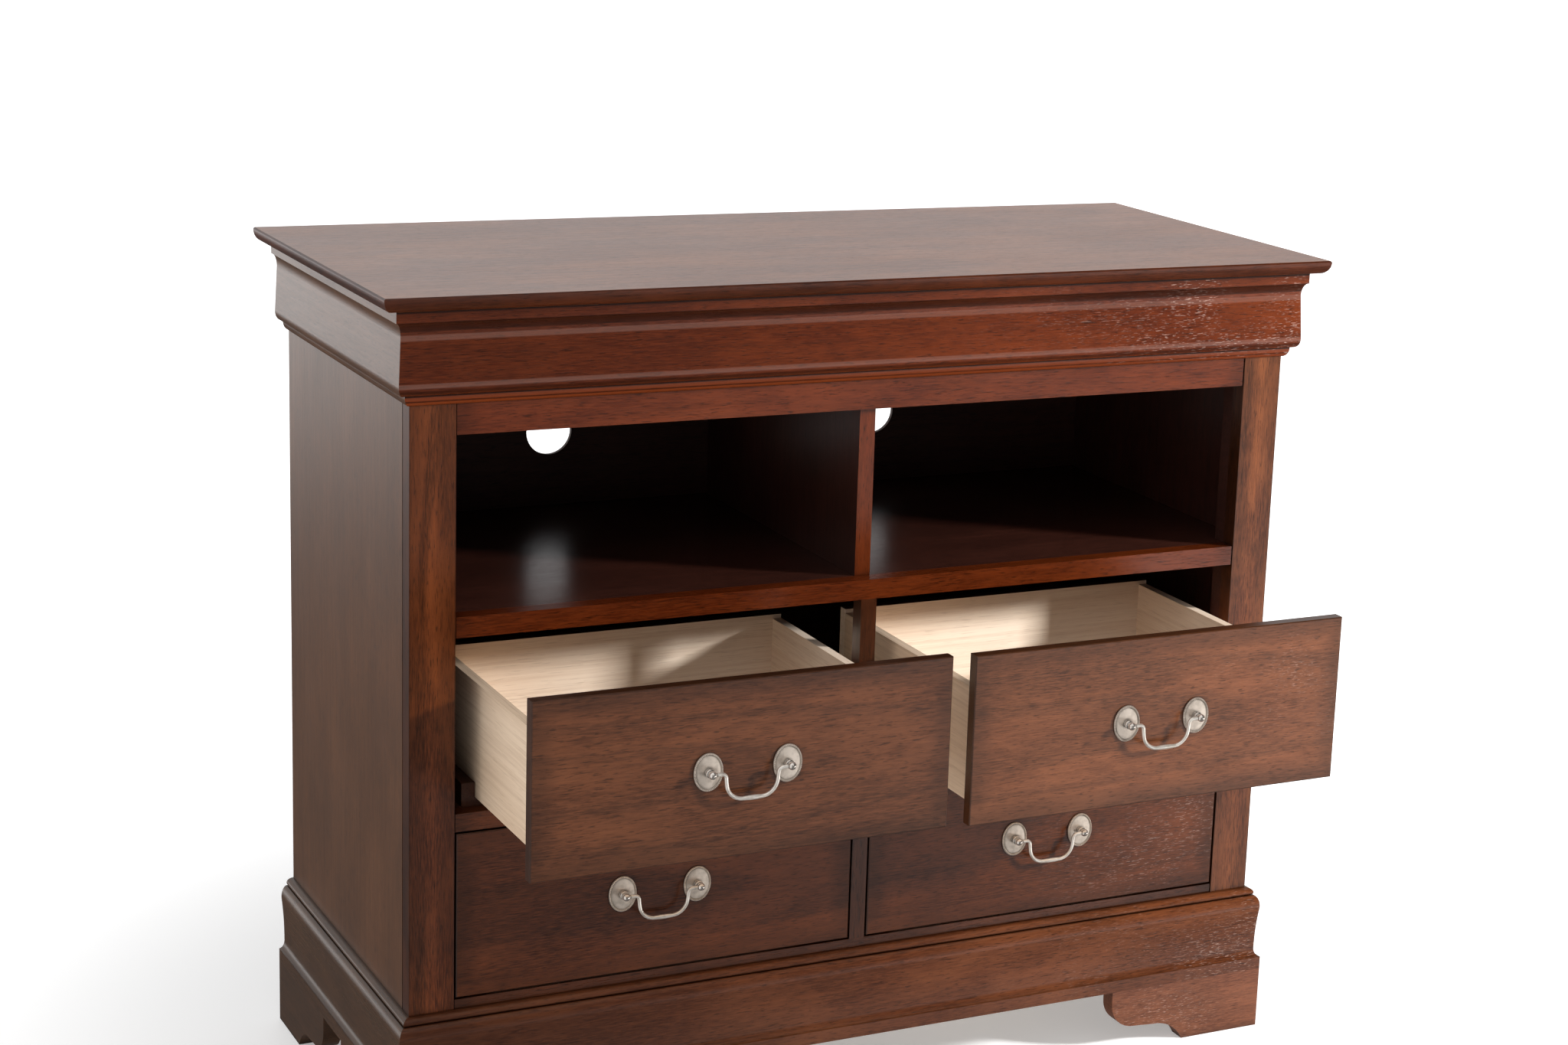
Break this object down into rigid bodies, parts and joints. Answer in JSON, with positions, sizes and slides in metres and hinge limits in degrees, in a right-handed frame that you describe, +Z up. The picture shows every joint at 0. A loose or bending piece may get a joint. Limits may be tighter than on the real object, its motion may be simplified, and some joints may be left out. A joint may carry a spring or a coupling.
{
  "type": "armoire",
  "caption": "Low chest-style armoire with a moulded crown, two open bays over four drawers with bail pulls, and bracket feet under a moulded plinth.",
  "frame": {"origin": "on the floor, under the middle of the whole outline with the two upper drawers standing open as at rest", "axes": "+Z up, +X to the right across the front as seen from in front, the drawers open towards -Y"},
  "size_m": [1.08, 0.6716, 0.9125],
  "materials": {
    "top_veneer": "satin stained veneer",
    "moulding_front": "satin stained wood",
    "moulding_side": "satin stained wood",
    "side_veneer": "satin stained veneer",
    "stile_wood": "satin stained wood",
    "rail_wood": "satin stained wood",
    "shelf_board": "glossy dark stained veneer",
    "divider_board": "satin dark stained board",
    "back_board": "dark stained thin board",
    "inner_wood": "dark stained board",
    "foot_wood": "satin stained wood",
    "drawer_veneer": "satin stained veneer",
    "drawer_board": "pale wood-grain laminate",
    "nickel": "brushed nickel plate"
  },
  "bodies": {
    "cabinet": {"top_panel": "top_veneer", "crown_front": "moulding_front", "crown_left": "moulding_side", "crown_right": "moulding_side", "side_panel_left": "side_veneer", "side_panel_right": "side_veneer", "stile_left": "stile_wood", "stile_right": "stile_wood", "top_rail": "rail_wood", "shelf_rail": "rail_wood", "mid_rail": "rail_wood", "bottom_rail": "rail_wood", "centre_stiles": "rail_wood", "shelf_panel": "shelf_board", "upper_divider": "divider_board", "ceiling_panel": "inner_wood", "back_panel": "back_board", "plinth_front": "moulding_front", "plinth_left": "moulding_side", "plinth_right": "moulding_side", "foot_front_left": "foot_wood", "foot_front_right": "foot_wood", "foot_back_left": "foot_wood", "foot_back_right": "foot_wood", "corner_cleats": "inner_wood", "back_rails": "inner_wood", "side_runners": "inner_wood", "centre_runners": "inner_wood"},
    "drawer_upper_left": {"ul_front": "drawer_veneer", "ul_side_left": "drawer_board", "ul_side_right": "drawer_board", "ul_back": "drawer_board", "ul_bottom": "drawer_board", "ul_rosettes": "nickel", "ul_posts": "nickel"},
    "bail_upper_left": {"ul_bail": "nickel"},
    "drawer_upper_right": {"ur_front": "drawer_veneer", "ur_side_left": "drawer_board", "ur_side_right": "drawer_board", "ur_back": "drawer_board", "ur_bottom": "drawer_board", "ur_rosettes": "nickel", "ur_posts": "nickel"},
    "bail_upper_right": {"ur_bail": "nickel"},
    "drawer_lower_left": {"ll_front": "drawer_veneer", "ll_side_left": "drawer_board", "ll_side_right": "drawer_board", "ll_back": "drawer_board", "ll_bottom": "drawer_board", "ll_rosettes": "nickel", "ll_posts": "nickel"},
    "bail_lower_left": {"ll_bail": "nickel"},
    "drawer_lower_right": {"lr_front": "drawer_veneer", "lr_side_left": "drawer_board", "lr_side_right": "drawer_board", "lr_back": "drawer_board", "lr_bottom": "drawer_board", "lr_rosettes": "nickel", "lr_posts": "nickel"},
    "bail_lower_right": {"lr_bail": "nickel"}
  },
  "joints": [
    {"name": "upper_left_slide", "type": "slide", "parent": "cabinet", "child": "drawer_upper_left", "axis": [0, -1, 0], "range_m": [-0.2147, 0.0653]},
    {"name": "upper_left_bail_swing", "type": "hinge", "parent": "drawer_upper_left", "child": "bail_upper_left", "pos_m": [-0.233, -0.3249, 0.4705], "axis": [1, 0, 0], "range_deg": [-197, 17]},
    {"name": "upper_right_slide", "type": "slide", "parent": "cabinet", "child": "drawer_upper_right", "axis": [0, -1, 0], "range_m": [-0.2214, 0.0586]},
    {"name": "upper_right_bail_swing", "type": "hinge", "parent": "drawer_upper_right", "child": "bail_upper_right", "pos_m": [0.233, -0.3316, 0.4705], "axis": [1, 0, 0], "range_deg": [-197, 17]},
    {"name": "lower_left_slide", "type": "slide", "parent": "cabinet", "child": "drawer_lower_left", "axis": [0, -1, 0], "range_m": [0, 0.28]},
    {"name": "lower_left_bail_swing", "type": "hinge", "parent": "drawer_lower_left", "child": "bail_lower_left", "pos_m": [-0.233, -0.1102, 0.26925], "axis": [1, 0, 0], "range_deg": [-197, 17]},
    {"name": "lower_right_slide", "type": "slide", "parent": "cabinet", "child": "drawer_lower_right", "axis": [0, -1, 0], "range_m": [0, 0.28]},
    {"name": "lower_right_bail_swing", "type": "hinge", "parent": "drawer_lower_right", "child": "bail_lower_right", "pos_m": [0.233, -0.1102, 0.26925], "axis": [1, 0, 0], "range_deg": [-197, 17]}
  ]
}
